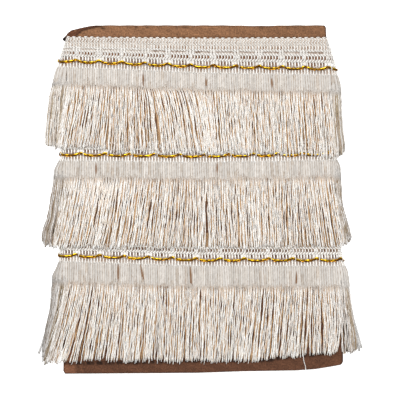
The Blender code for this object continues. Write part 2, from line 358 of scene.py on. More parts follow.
def mesh_object(name, batch, material, smooth=True):
    points, faces, uvs, tints = batch
    mesh = bpy.data.meshes.new(name)
    flat = faces.reshape(-1)
    mesh.vertices.add(len(points))
    mesh.vertices.foreach_set("co", points.astype(np.float32).reshape(-1))
    mesh.loops.add(len(flat))
    mesh.loops.foreach_set("vertex_index", flat.astype(np.int32))
    mesh.polygons.add(len(faces))
    mesh.polygons.foreach_set("loop_start", np.arange(0, len(flat), 4, dtype=np.int32))
    mesh.update(calc_edges=True)
    mesh.validate()
    layer = mesh.attributes.new("tint", "FLOAT_COLOR", "POINT")
    colours = np.ones((len(points), 4), np.float32)
    colours[:, :3] = np.clip(tints, 0, 1)
    layer.data.foreach_set("color", colours.reshape(-1))
    if uvs is not None:
        layer = mesh.uv_layers.new(name="along")
        layer.data.foreach_set("uv", uvs.astype(np.float32).reshape(-1))
    if smooth:
        mesh.shade_smooth()
    mesh.materials.append(material)
    made = bpy.data.objects.new(name, mesh)
    bpy.context.scene.collection.objects.link(made)
    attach(made, "root")
    return made


def stretch_at(s, below, out, outer):
    """How many times as far apart points are in space as along the trim: more than 1 round the edges."""
    near = 0.4
    step = winding(s + near, below, out, outer) - winding(s - near, below, out, outer)
    return np.clip(np.linalg.norm(step, axis=-1) / (2 * near * MM), 0.6, 4)


# The length of yarn in which its plies go once across
TWIST_PITCH = 3.0


def turned_section(across, deep, sides, turn):
    """How far aside and how far up the corners of flat sections are once those are turned."""
    corner = 2 * math.pi * np.arange(sides) / sides
    x = across[..., None] * np.cos(corner)
    y = deep[..., None] * np.sin(corner)
    cos = np.cos(turn)[..., None]
    sin = np.sin(turn)[..., None]
    return x * cos - y * sin, x * sin + y * cos


def tubes(centres, across, deep, sides, turn, outer, stretch=1.0):
    """Points, quads and maps of a batch of closed tubes.

    centres is (n, k, 3) in (s, below, out), across and deep are the half widths, (n, k), turn is how far each
    section is turned round, (n, k), outer is as for winding, (n, k), and stretch is as from stretch_at.
    """
    n, k = centres.shape[:2]
    along = np.gradient(centres, axis=1)
    along /= np.linalg.norm(along, axis=2, keepdims=True)
    up = np.zeros_like(along)
    up[..., 2] = 1
    side = np.cross(along, up)
    side /= np.maximum(np.linalg.norm(side, axis=2, keepdims=True), 1e-6)
    up = np.cross(side, along)
    x, y = turned_section(across, deep, sides, turn)
    x = x / np.broadcast_to(stretch, across.shape)[..., None]
    rings = centres[:, :, None, :] + x[..., None] * side[:, :, None, :] + y[..., None] * up[:, :, None, :]
    outs = np.broadcast_to(outer[..., None], rings.shape[:3])
    points = winding(rings[..., 0], rings[..., 1], rings[..., 2], outs).reshape(-1, 3)
    ring = np.arange(sides)
    after = (ring + 1) % sides
    base = (np.arange(n)[:, None] * k + np.arange(k - 1)[None, :])[..., None] * sides
    quads = np.stack([base + ring, base + after, base + sides + after, base + sides + ring], -1)
    steps = np.linalg.norm(np.diff(centres, axis=1), axis=2)
    lengths = np.concatenate([np.zeros((n, 1)), np.cumsum(steps, 1)], 1)
    u = TWIST_PITCH * 2 * np.stack([ring, ring + 1, ring + 1, ring], -1) / sides
    v = np.stack([lengths[:, :-1], lengths[:, :-1], lengths[:, 1:], lengths[:, 1:]], -1)[:, :, None, :]
    uvs = np.stack([np.broadcast_to(u, quads.shape), np.broadcast_to(v, quads.shape)], -1)
    quads = quads.reshape(-1, 4)
    uvs = uvs.reshape(-1, 4, 2)
    first = (np.arange(n) * k * sides)[:, None]
    caps = {4: ([0, 1, 2, 3],), 6: ([0, 1, 2, 3], [0, 3, 4, 5])}[sides]
    for cap in caps:
        ends = np.concatenate([first + cap[::-1], first + (k - 1) * sides + cap])
        quads = np.concatenate([quads, ends])
        uvs = np.concatenate([uvs, np.zeros((len(ends), 4, 2))])
    return points, quads, uvs


def join(batches):
    """Several batches as one."""
    points, quads, uvs, tints = zip(*batches, strict=True)
    starts = np.cumsum([0] + [len(part) for part in points[:-1]])
    quads = [part + start for part, start in zip(quads, starts, strict=True)]
    return [np.concatenate(parts) for parts in (points, quads, uvs, tints)]


def grid_quads(rows, columns):
    """The quads of a grid of points, and which cell each is, as (row, column)."""
    row, column = np.meshgrid(np.arange(rows - 1), np.arange(columns - 1), indexing="ij")
    first = (row * columns + column).reshape(-1)
    quads = np.stack([first, first + columns, first + columns + 1, first + 1], -1)
    return quads, row.reshape(-1), column.reshape(-1)


# Materials


def put(node, values):
    """Sets a node's inputs by their names."""
    for name, value in values.items():
        node.inputs[name].default_value = value


def material_of(name, values):
    material = bpy.data.materials.new(name)
    material.use_nodes = True
    tree = material.node_tree
    shader = tree.nodes["Principled BSDF"]
    put(shader, values)
    return material, tree, shader


def ranged(tree, value, values):
    """A value that is spread over another range."""
    node = tree.nodes.new("ShaderNodeMapRange")
    put(node, values)
    tree.links.new(value, node.inputs["Value"])
    return node.outputs["Result"]


def scaled(tree, colour, share):
    node = tree.nodes.new("ShaderNodeVectorMath")
    node.operation = "SCALE"
    tree.links.new(colour, node.inputs[0])
    tree.links.new(share, node.inputs["Scale"])
    return node.outputs["Vector"]


def bump(tree, height, strength, distance):
    """Raises the surface by a height, distance being in metres."""
    node = tree.nodes.new("ShaderNodeBump")
    put(node, {"Strength": strength, "Distance": distance})
    tree.links.new(height, node.inputs["Height"])
    tree.links.new(node.outputs["Normal"], tree.nodes["Principled BSDF"].inputs["Normal"])


def tinted(tree, low, high, scale):
    """The mesh's own colour, made lighter and darker between low and high by a fine noise, and that noise."""
    tint = tree.nodes.new("ShaderNodeAttribute")
    tint.attribute_name = "tint"
    place = tree.nodes.new("ShaderNodeTexCoord")
    noise = tree.nodes.new("ShaderNodeTexNoise")
    put(noise, {"Scale": scale, "Detail": 3})
    tree.links.new(place.outputs["Object"], noise.inputs["Vector"])
    spread = {"From Min": 0.3, "From Max": 0.7, "To Min": low, "To Max": high}
    share = ranged(tree, noise.outputs["Fac"], spread)
    return scaled(tree, tint.outputs["Color"], share), noise.outputs["Fac"]


def yarn_material(name, sheen, rough, relief):
    """A soft yarn: the mesh's colour under fine fibres, and its plies as a slanting bump."""
    look = {"Roughness": rough, "Specular IOR Level": 0.05, "Sheen Weight": sheen, "Sheen Roughness": 0.6}
    material, tree, shader = material_of(name, look)
    colour, _ = tinted(tree, 0.9, 1.08, 900)
    along = tree.nodes.new("ShaderNodeUVMap")
    along.uv_map = "along"
    plies = tree.nodes.new("ShaderNodeTexWave")
    plies.bands_direction = "DIAGONAL"
    put(plies, {"Scale": 2 * math.pi / (10 * TWIST_PITCH), "Distortion": 0.8, "Detail": 1})
    tree.links.new(along.outputs["UV"], plies.inputs["Vector"])
    groove = ranged(tree, plies.outputs["Fac"], {"To Min": 1 - 0.5 * relief, "To Max": 1 + 0.2 * relief})
    tree.links.new(scaled(tree, colour, groove), shader.inputs["Base Color"])
    bump(tree, plies.outputs["Fac"], relief, 0.0005)
    return material


def grained_material(name, look, grain, strength, distance):
    """Film or paper: the mesh's colour under a grain of (darkest, brightest, scale), also its relief."""
    material, tree, shader = material_of(name, look)
    colour, height = tinted(tree, *grain)
    tree.links.new(colour, shader.inputs["Base Color"])
    bump(tree, height, strength, distance)
    return material


def metal_material(name, metallic, rough):
    """Metallised film, or the dark yarn that it is laid round, with fine creases."""
    look = {"Metallic": metallic, "Specular IOR Level": 0.1, "Roughness": rough}
    return grained_material(name, look, (0.65, 1.15, 420), 0.4, 0.0003)


STRAND_YARN = yarn_material("strand_yarn", 0.03, 0.85, 0.3)
HEADING_YARN = yarn_material("heading_yarn", 0.04, 0.9, 0.35)
BAND_YARN = yarn_material("band_yarn", 0.04, 0.92, 0.05)
GOLD = metal_material("gold_film", 0.8, 0.35)
GOLD_CORE = metal_material("gold_core", 0.2, 0.7)
KRAFT_LOOK = {"Roughness": 0.88, "Specular IOR Level": 0.2}
KRAFT = grained_material("kraft", KRAFT_LOOK, (0.58, 1.42, 700), 0.3, 0.0004)


# The card

CARD_BRIGHT = np.array([0.196, 0.095, 0.047])
CARD_DULL = np.array([0.090, 0.038, 0.020])
CORNER_STRIP = np.array([0.085, 0.031, 0.014])
# The card's mean width
CARD_WIDTH = 270
# The torn-back edge of the upper left corner: the card's outline, and the line that the paper is bent along
CORNER_EDGE = ((-134.5, -132.5, -129.0, -120.0, -110.0, -102.0), (163.0, 167.0, 169.8, 172.0, 173.9, 174.7))
CORNER_FOLD = ((-135.0, -126.0, -117.0, -102.0, -92.0), (156.0, 162.5, 169.5, 173.0, 175.5))
# Small dents beside the upper edge: x, y, how long and how deep
DENTS = (
    (-97, 171.6, 2.2, 0.85), (-64, 172.6, 1.8, 0.6), (-53, 172.2, 2.2, 0.7), (-24, 172.8, 3, 0.5),
    (-15, 172.2, 4, 0.6), (12, 171, 1.4, 0.4), (61, 171.8, 4, 0.35), (88, 172, 2, 0.4),
)


def fall(x, y):
    """How far the bent corners fall back at points of the card."""
    depth = np.zeros(np.shape(x))
    for fold in BENT_CORNERS:
        along = (fold["end"][0] - fold["start"][0], fold["end"][1] - fold["start"][1])
        away = (x - fold["start"][0]) * along[1] - (y - fold["start"][1]) * along[0]
        depth += fold["fall"] * np.maximum(away / math.hypot(*along), 0)
    return depth


def dents(x, y, tall):
    """How much each of the small dents tells at points of the card."""
    for dent_x, dent_y, long, deep in DENTS:
        yield deep * hill(x, dent_x, long) * hill(y, dent_y, tall)


def card_grid(columns, rows, margin=0.0):
    """Points over the card's outline with its corners worn, from arrays of shares across and up."""
    across, up = np.meshgrid(columns, rows)
    foot = np.interp(across, *CARD_FOOT_LINE)
    rough = CARD_LEFT[1] + across * (CARD_RIGHT[1] - CARD_LEFT[1])
    top = CARD_TOP - 0.6 * hill(rough, 60, 22) + 0.12 * np.sin(rough / 3)
    top = np.minimum(top, np.interp(rough, *CORNER_EDGE))
    y = mix(foot + margin, top - margin, up)
    left = card_left(y) + 0.12 * np.sin(y / 7)
    right = card_right(y) + 0.15 * np.sin(y / 9)
    near_top = np.maximum(y - (CARD_TOP - 3), 0) / 3
    near_foot = np.maximum(foot + 6 - y, 0) / 6
    left = left + 1.8 * np.maximum(CARD_FOOT + 3 - y, 0) / 3 - 4.8 * hill(y, 160.8, 3.2)
    right = right - 1.6 * near_top ** 2 - 3.0 * near_foot ** 3
    x = mix(left + margin, right - margin, across)
    return x, y, across, up


def card_tints(x, y, across, up):
    """The colours of the card's face: bright above the trim, dull under it, with painted shade along its
    edges and folds.
    """
    # Darker towards the foot: partly the card's own tone, partly painted shade of the fringe that hangs over
    # it
    tint = mix(CARD_DULL, CARD_BRIGHT, np.clip((y + 150) / 290, 0, 1)[..., None])
    factor = 1 + 0.08 * waver(x + 2.3 * y, 4, [(31, 1), (11, 0.7)])
    factor += 0.05 * waver(x, 5, [(FLUTE_PITCH, 1)])
    # Painted shade along the top edge and the left part of the foot
    tall = CARD_TOP - CARD_FOOT
    factor *= 1 - 0.45 * hill((1 - up) * tall, 0, 1.0)
    factor *= 1 - 0.6 * hill(up * tall, 0, 0.9) * np.clip(1.1 - 1.5 * across, 0, 1)
    # Painted shadow close above the heading and close under the tips of the strands
    factor *= 1 - 0.4 * hill(y, 162.4, 1.0) * (x > -126)
    tips = -58.3 - np.minimum(value_at(TIPS[0], across), 105.5)
    ragged = np.clip(0.75 + 0.4 * waver(x, 6, [(9, 1), (4.3, 1)]), 0.2, 1)
    ragged *= np.clip((0.965 - across) / 0.01, 0, 1)
    factor *= 1 - 0.85 * hill(y, tips, 2.1, 4) * ragged
    # Painted light on the lower left corner past its crease, duller towards the upper right one, and painted
    # shade along the sides
    factor *= 1 + 0.7 * np.clip((x + 123) / -3, 0, 1) * (y < -150)
    factor *= 1 - 0.14 * np.clip((x - 20) / 60, 0, 1) * (y > 150)
    factor *= 1 - 0.55 * hill(np.minimum(across, 1 - across) * CARD_WIDTH, 0, 0.9)
    # The dark strip past the fold of the upper left corner, painted shade along the fold itself, and a
    # painted shadow in the dark patch at its tip
    beyond = y - np.interp(x, *CORNER_FOLD)
    tint = mix(tint, CORNER_STRIP, np.clip(beyond / 0.8 + 0.5, 0, 1)[..., None])
    factor *= 1 - 0.8 * hill(beyond, 0, 0.75) * (x < -95)
    factor *= 1 - 0.97 * hill(x, -137, 3.4, 4) * hill(y, 161, 3.6, 4)
    # Painted shade in the small dents, as dark as they are deep
    for dent in dents(x, y, 1.0):
        factor *= 1 - dent
    # A painted highlight along the crease of the lower left corner, and painted shade along the diagonal
    # crease of the lower right one
    crease = hill(x + 0.03 * y, -124, 1.0) * (y < -150)
    diagonal = hill(x - 0.9 * (y + 158), 122, 1.2) * (y < -140)
    factor *= 1 + 0.35 * crease - 0.22 * diagonal
    # Painted light on the bent lower right corner, the more the further it falls back
    corner = np.clip(fall(x, y) / 2, 0, 1) * (y < 0)
    return tint * (factor * (1 + 0.25 * corner))[..., None]


def make_liner(name, z, facing, columns, rows):
    """One face of the card: a closed sheet of paper with dents and creases."""
    x, y, across, up = card_grid(columns, rows)
    level = z - fall(x, y)
    waves = 0.10 * np.cos(2 * math.pi * x / FLUTE_PITCH)
    waves += 0.10 * waver(x + 1.7 * y, 3, [(60, 1), (23, 0.6)])
    level = level + facing * waves
    if facing > 0:
        level = level - 0.25 * np.clip(y - np.interp(x, *CORNER_FOLD), 0, 6)
        for dent in dents(x, y, 1.2):
            level = level - dent
        tints = card_tints(x, y, across, up)
    else:
        tints = np.broadcast_to(mix(CARD_DULL, CARD_BRIGHT, 0.7), (*x.shape, 3))
    outer = to_metres(x, y, level).reshape(-1, 3)
    points = np.concatenate([outer, to_metres(x, y, level - LINER * facing).reshape(-1, 3)])
    quads, _, _ = grid_quads(*x.shape)
    count = x.size
    wide = x.shape[1]
    face_quads = quads if facing < 0 else quads[:, ::-1]
    rim = np.concatenate([
        np.arange(wide - 1),
        wide - 1 + wide * np.arange(x.shape[0] - 1),
        count - 1 - np.arange(wide - 1),
        count - wide - wide * np.arange(x.shape[0] - 1),
    ])
    after = np.roll(rim, -1)
    walls = np.stack([rim, after, after + count, rim + count], -1)
    if facing > 0:
        walls = walls[:, ::-1]
    faces = np.concatenate([face_quads, face_quads[:, ::-1] + count, walls])
    # The inner faces carry painted shade, at 0.8 of the outer faces' colours
    tints = np.concatenate([tints.reshape(-1, 3), 0.8 * tints.reshape(-1, 3)])
    return mesh_object(name, (points, faces, None, tints), KRAFT, smooth=False)


def make_card():
    """Two liners with the flutes between them. The front has fine rows only at its foot and its top."""
    rows = [np.linspace(0, 0.08, 28), np.linspace(0.08, 0.92, 20)[1:-1], np.linspace(0.92, 1, 34)]
    columns = np.linspace(0, 1, 141)
    front = make_liner("card_front", FLOOR_TO_CARD + CARD_THICKNESS, 1, columns, np.concatenate(rows))
    back = make_liner("card_back", FLOOR_TO_CARD, -1, np.linspace(0, 1, 41), np.linspace(0, 1, 41))
    columns = np.linspace(0, 1, 36 * 6 + 1)
    rows = np.array([0, 0.01, 0.03, 0.06, 0.5, 0.9, 0.96, 0.985, 1])
    x, y, _, _ = card_grid(columns, rows, LINER)
    wave = (CARD_THICKNESS / 2 - 0.6) * np.cos(2 * math.pi * x / FLUTE_PITCH)
    points = to_metres(x, y, FLOOR_TO_CARD + CARD_THICKNESS / 2 + wave - fall(x, y)).reshape(-1, 3)
    quads, _, _ = grid_quads(len(rows), len(columns))
    tints = np.broadcast_to(mix(CARD_DULL, CARD_BRIGHT, 0.5), points.shape)
    flutes = mesh_object("card_flutes", (points, quads, None, tints), KRAFT)
    paper = flutes.modifiers.new("paper", "SOLIDIFY")
    paper.thickness = MM * FLUTE_PAPER
    paper.offset = 0
    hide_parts("card")


# The heading

STITCH = np.array([0.74, 0.72, 0.69])
POST = np.array([0.82, 0.81, 0.79])
GROUND = np.array([0.70, 0.65, 0.59])
# Painted shade on the ground in the gaps between the rows of stitches, deep and shallow
GROUND_GAP_SHADE = np.array([0.13, 0.055, 0.018])
GROUND_SHALLOW_GAP_SHADE = np.array([0.24, 0.13, 0.065])
GROUND_SHADED = np.array([0.30, 0.17, 0.07])
STITCH_PITCH = 3.0
# The gaps between the rows of stitches, where the ground is painted dark with the shade in them: their edges
# over the gold thread's line, how dark they are at first and further on, and the places between which that
# changes
NET_GAPS = (
    ((26.2, 23.4), (0.7, 0.45), (8.33, 8.33)),
    ((20.0, 17.2), (0.5, 0.85), (8.33, 8.33)),
    ((15.6, 14.0), (0.4, 0.7), (8.33, 8.33)),
    ((10.4, 8.3), (0.8, 1.4), (8.2, 8.4)),
    ((5.0, 1.8), (0.7, 0.9), (6, 6)),
    ((-0.6, -4.4), (1.2, 1.2), (6, 6)),
)
SHALLOW_EDGES = (26.2, 23.4, 20.0, 17.2, -0.6, -4.4)
# The heights of the pale ground above, between and below the gaps
NET_ROWS = (28.0, 20.6, 16.6, 11.6, 5.6, -6.8)
# The gaps with slots: the upper edge, and past what share of a wave from a crest they are open
NET_SLOTS = ((10.4, 0.07), (5.0, 0.15))
# How much painted shade dulls the yarn round the card's edges, and past 1 painted light: left and right of
# each turn
SIDE_SHADES = ((0.37, 1.12), (0.70, 0.86), (0.98, 0.88))
TURN_MARKS = (TRIM_START, length_at(4), length_at(8), TRIM_END)
# The length from which no later turn covers the heading
UNCOVERED = length_at(6)


def tints_of(base, spread, n, chance):
    """n colours that are up to spread darker than base, and slightly warmer as they darken."""
    dark = chance.uniform(0, 1, n)[:, None] * spread
    return base * (1 - dark * np.array([0.85, 1.0, 1.2]))


def side_shade(s):
    """The trim's colours are duller round the card's edges, where the light falls off it."""
    place = place_of(s)
    leg = leg_of(place)
    turn = np.clip(np.floor(place / 4).astype(int), 0, len(TURNS) - 1)
    shades = np.array(SIDE_SHADES)
    left = shades[np.clip(turn + (place >= 0), 0, len(TURNS) - 1), 0]
    full = np.where(leg == RIGHT_SIDE, shades[turn, 1], np.where(leg == LEFT_SIDE, left, 1.0))
    round_edge = np.abs(np.sin(math.pi * place)) ** 1.3
    return mix(1, full, round_edge)[..., None] * np.ones(3)


def grains(starts, ends, radius, lift, base, chance, steps, plump):
    """A batch of short plump stitches from starts to ends, (n, 3) in (s, height, out), raised by lift."""
    n = len(starts)
    sides = 6
    share = np.linspace(0, 1, steps)
    arch = np.sin(math.pi * share)
    centres = starts[:, None, :] + (ends - starts)[:, None, :] * share[None, :, None]
    centres[..., 2] += lift * arch[None, :]
    size = radius * chance.uniform(0.88, 1.1, (n, 1)) * (1 - plump + plump * arch ** 0.6)[None, :]
    centres[..., :2] += chance.normal(0, 0.10, (n, 1, 2))
    centres[..., 1] = below_of(centres[..., 0], centres[..., 1])
    outer = np.full(centres.shape[:2], HEADING_OUT)
    points, quads, uvs = tubes(centres, size, size * 0.85, sides, np.zeros((n, steps)), outer)
    # Painted light: the rows that the next turn's strands shade are painted a tenth lighter, so that they
    # look as pale as the rest
    painted_lighter = np.where(starts[:, :1] < UNCOVERED, 1.1, 1.0)
    tints = np.repeat(tints_of(base, 0.14, n, chance) * painted_lighter, steps * sides, axis=0)
    return points, quads, uvs, tints


def row_of(first, last, pitch):
    """The lengths along the trim at which a row has its stitches."""
    return np.arange(math.ceil(first / pitch), math.floor(last / pitch) + 1) * pitch


def near_crest(s, share):
    return s[crest_distance(s) < share]


def heading_stitches(first, last, chance):
    """The stitches of one stretch of the heading, with its upper rows where no later turn covers them."""
    batches = []
    steps = 5 if first > UNCOVERED else 4

    def row(lengths, start, end, radius, lift, base=STITCH, plump=0.5):
        """A stitch at each length from start to end, which are (along, height, out) from there."""
        along = lengths[:, None] * np.array([1, 0, 0])
        batches.append(grains(along + start, along + end, radius, lift, base, chance, steps, plump))

    s = row_of(first, last, STITCH_PITCH)
    post = s + STITCH_PITCH / 2
    if last > UNCOVERED:
        bare = max(first, UNCOVERED)
        # The scalloped edge, a loop for each two stitches
        edge = row_of(bare, last, 2 * STITCH_PITCH)
        row(edge, (-1.7, 28.2, 1.2), (1.7, 28.5, 1.2), 0.68, 0.4, plump=0.35)
        # The braid: three rows of short stitches that slant against each other
        up = row_of(bare, last, STITCH_PITCH)
        row(up, (-1.2, 28.0, 1.1), (1.2, 25.7, 1.3), 0.66, 0.4)
        row(up, (1.3, 26.0, 1.3), (-1.2, 23.3, 1.3), 0.66, 0.4)
        row(up, (-1.2, 23.6, 1.3), (1.2, 20.9, 1.1), 0.66, 0.4)
        # Upright bars
        row(up, (0, 21.2, 1.2), (0, 16.6, 1.2), 0.92, 0.4)
        row(up, (-1.5, 17.3, 1.2), (1.5, 14.9, 1.2), 0.95, 0.3)
    # The band under the groove, slanting stitches that run on up where a shell stands under it
    row(near_crest(s, 0.16), (-0.9, 15.4, 1.1), (0.9, 13.0, 1.1), 0.9, 0.3)
    row(s, (-1.5, 13.4, 1.1), (1.5, 10.9, 1.1), 1.0, 0.4)
    # Posts between the slots, doubled where a shell stands under them
    row(post, (0, 11.5, 1.2), (0, 7.4, 1.2), 0.62, 0.5, POST)
    row(near_crest(s, 0.09), (0, 11.5, 1.2), (0, 7.4, 1.2), 0.9, 0.3)
    row(s, (1.5, 7.9, 1.1), (-1.5, 5.0, 1.1), 1.0, 0.4)
    # The lower posts, which close up into a shell over each crest of the gold thread
    row(s, (0, 5.7, 1.2), (0, 0.2, 1.2), 0.82, 0.6, POST)
    row(near_crest(post, 0.15), (0, 5.7, 1.2), (0, 0.6, 1.2), 0.85, 0.35)
    # The posts under the gold thread, and the short stitches that hold the skirt
    row(s, (0, -0.4, 0.9), (0, -7.8, 0.9), 1.06, 0.3, plump=0.3)
    # The couching stitches over the gold thread, just past all its covered crests and each fourth of the rest
    lengths = np.arange(first, last, 0.5)
    phases = wave_phase(lengths)
    whole = np.arange(math.ceil(phases[0]), math.floor(phases[-1]) + 1)
    crests = np.interp(whole, phases, lengths)
    crests = crests[(crests < UNCOVERED) | (whole % 4 == 0)]
    row(crests, (2.6, -2.0, 2.2), (2.9, 2.4, 2.2), 0.42, 1.5)
    return join(batches)


def make_heading_net(first, last):
    """The thin ground that the stitches are worked on, open at the slots between its posts."""
    columns = int((last - first) / (STITCH_PITCH / 2)) + 1
    s = np.linspace(first, last, columns)
    edges = [height for gap in NET_GAPS for height in gap[0]]
    heights = np.array(sorted([*edges, *NET_ROWS], reverse=True))
    deep = np.isin(heights, edges)[:, None]
    lengths, rows = np.meshgrid(s, heights)
    out = 0.75 + 0.12 * waver(lengths + 3 * rows, 5, [(31, 1), (9, 0.6)])
    points = winding(lengths, below_of(lengths, rows), out, np.full(out.shape, HEADING_OUT)).reshape(-1, 3)
    quads, row, column = grid_quads(len(heights), columns)
    # About half of the slots go through, by chance. The trim starts up to this many stitches before length 0.
    back = 200
    middle = s[column] + STITCH_PITCH / 4
    dice = np.random.default_rng(9).uniform(0, 1, (len(heights), int(last / STITCH_PITCH) + 2 * back))
    hole = dice[row, np.floor(middle / STITCH_PITCH).astype(int) + back] < 0.55
    keep = np.ones(len(quads), bool)
    for height, share in NET_SLOTS:
        keep &= ~((heights[row] == height) & (crest_distance(middle) > share) & hole)
    # Painted shade on the ground: strong in the gaps and slight on the rest of it
    depth = deep * (0.4 + np.random.default_rng(8).uniform(0, 1, (len(heights), columns)) ** 1.5)
    depth += 0.2 * ~deep
    for gap, tones, places in NET_GAPS:
        depth[np.isin(heights, gap)] *= np.interp(s, [length_at(place) for place in places], tones)
    # Darker painted shade in the gaps under the gold thread, one for each seven stitches
    ticks = (np.round(s / (STITCH_PITCH / 2)) % 14 == 0)[None, :] & np.isin(heights, NET_GAPS[-1][0])[:, None]
    depth = np.where(ticks, 1.3, depth)
    shallow = np.isin(heights, SHALLOW_EDGES)[:, None, None]
    gap_shade = np.where(shallow, GROUND_SHALLOW_GAP_SHADE, GROUND_GAP_SHADE)
    tints = mix(GROUND, gap_shade, np.minimum(depth, 1.0)[..., None])
    # In the shade of the next turn's strands it is as brown as the card
    shaded = np.clip((rows - 9) / 3, 0, 1) * (lengths < UNCOVERED) * (leg_of(place_of(lengths)) == FRONT)
    tints = mix(tints, GROUND_SHADED, 0.85 * shaded[..., None])
    uvs = np.stack([lengths, rows], -1).reshape(-1, 2)[quads]
    return points, quads[keep][:, ::-1], uvs[keep][:, ::-1], tints.reshape(-1, 3)


def make_heading():
    chance = np.random.default_rng(11)
    net = mesh_object("heading_ground", make_heading_net(TRIM_START, TRIM_END), HEADING_YARN)
    stitched = []
    for turn in range(len(TURNS)):
        batch = heading_stitches(TURN_MARKS[turn], TURN_MARKS[turn + 1], chance)
        stitched.append(mesh_object(f"heading_stitches_{turn + 1}", batch, HEADING_YARN))
    for piece in [net, *stitched]:
        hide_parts("heading")
    return net, stitched


# The gold thread
YELLOW = np.array([0.92, 0.60, 0.012])
OLIVE = np.array([0.20, 0.085, 0.003])
ORANGE = np.array([0.72, 0.32, 0.01])
UMBER = np.array([0.09, 0.035, 0.003])


def make_gold():
    """Three flat plies side by side that roll a little: bright film, the dark core yarn and shaded film."""
    s = np.arange(TRIM_START + 1, TRIM_END - 1, 1.1)
    roll = 0.5 * waver(s, 21, [(37, 1), (13, 0.6)])
    line = np.stack([s, -gold_rise(s), np.full(len(s), 2.75)], -1)
    # Painted dark reflections: the film is darker at the crests, most of all on the right of the topmost
    # front, and in patches along it
    crest = hill(crest_distance(s), 0, CREST_WIDTH) * np.where(s > length_at(8.6), 1.7, 0.6)
    pieces = []
    for name, material, at, raised, radius, tint, dull in (
        ("gold_thread_film", GOLD, -1.0, 0.05, 0.62, YELLOW, OLIVE),
        ("gold_thread_core", GOLD_CORE, 0.55, 0.12, 0.68, UMBER, UMBER),
        ("gold_thread_shaded_film", GOLD, 1.8, 0.0, 0.42, ORANGE, UMBER),
    ):
        centres = line.copy()
        centres[:, 1] += 0.58 * at * np.cos(roll)
        centres[:, 2] += 0.58 * at * np.sin(roll) + raised
        centres = centres[None]
        size = radius * (1 + 0.15 * waver(s, 23, [(5.2, 1), (9, 0.5)]))[None]
        outer = np.full(centres.shape[:2], HEADING_OUT)
        points, quads, uvs = tubes(centres, size, size, 6, np.zeros(size.shape), outer)
        patches = waver(s, 25 + int(2 * at), [(4.6, 1), (7.5, 1), (23, 0.6)])
        dark_reflection = np.clip(0.36 + 0.95 * patches + crest, 0, 1)
        tints = np.repeat(mix(tint, dull, dark_reflection[:, None]), 6, axis=0)
        piece = mesh_object(name, (points, quads, uvs, tints), material)
        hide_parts("gold_thread")
        pieces.append(piece)
    return pieces


# The skirt

RIB = 2.3
BAND = np.array([0.472, 0.449, 0.422])
DARK_RIB = np.array([0.88, 0.83, 0.78])
# The painted shade that the furrows between the ribs put on them, at the least and at the most
FURROW_FAINT_SHADE = np.array([0.80, 0.75, 0.70])
FURROW_DEEP_SHADE = np.array([0.36, 0.24, 0.15])
SLIT_BROWN = np.array([0.19, 0.10, 0.05])
# Slits in the bound band, where the card shows: the turn, how far across the card, from and to what depth,
# and how far the lower end is to the right
SLITS = (
    (0, -82.0, 6, 26, 0.0), (0, -60.0, 6, 31, 4.5), (0, -10.0, 8, 29, 0.5), (0, 96.0, 14, 27, -1.0),
    (2, -57.0, 10, 22, 0.0), (2, 6.0, 12, 23, 0.5), (2, 71.0, 11, 20, 0.0),
    (1, -104.0, 9, 20, 0.0), (1, 17.0, 8, 18, 0.0),
)


def slit_depth(s, below):
    """1 in the slits between the bound strands, where the brown of the card shows, and 0 beside them."""
    depth = np.zeros(below.shape)
    for turn, x, start, end, slant in SLITS:
        y = float(turn_value(4 * turn + 0.5, "gold"))
        share = (x - card_left(y)) / (card_right(y) - card_left(y))
        along = np.clip((below - start) / (end - start), 0, 1)
        line = length_at(4 * turn + share) + slant * along
        wide = 0.2 + 0.65 * np.sin(math.pi * along) ** 0.6
        inside = (below > start - 1) & (below < end + 1)
        depth = np.maximum(depth, inside * np.clip(1.6 - np.abs(s - line) / wide, 0, 1))
    return depth


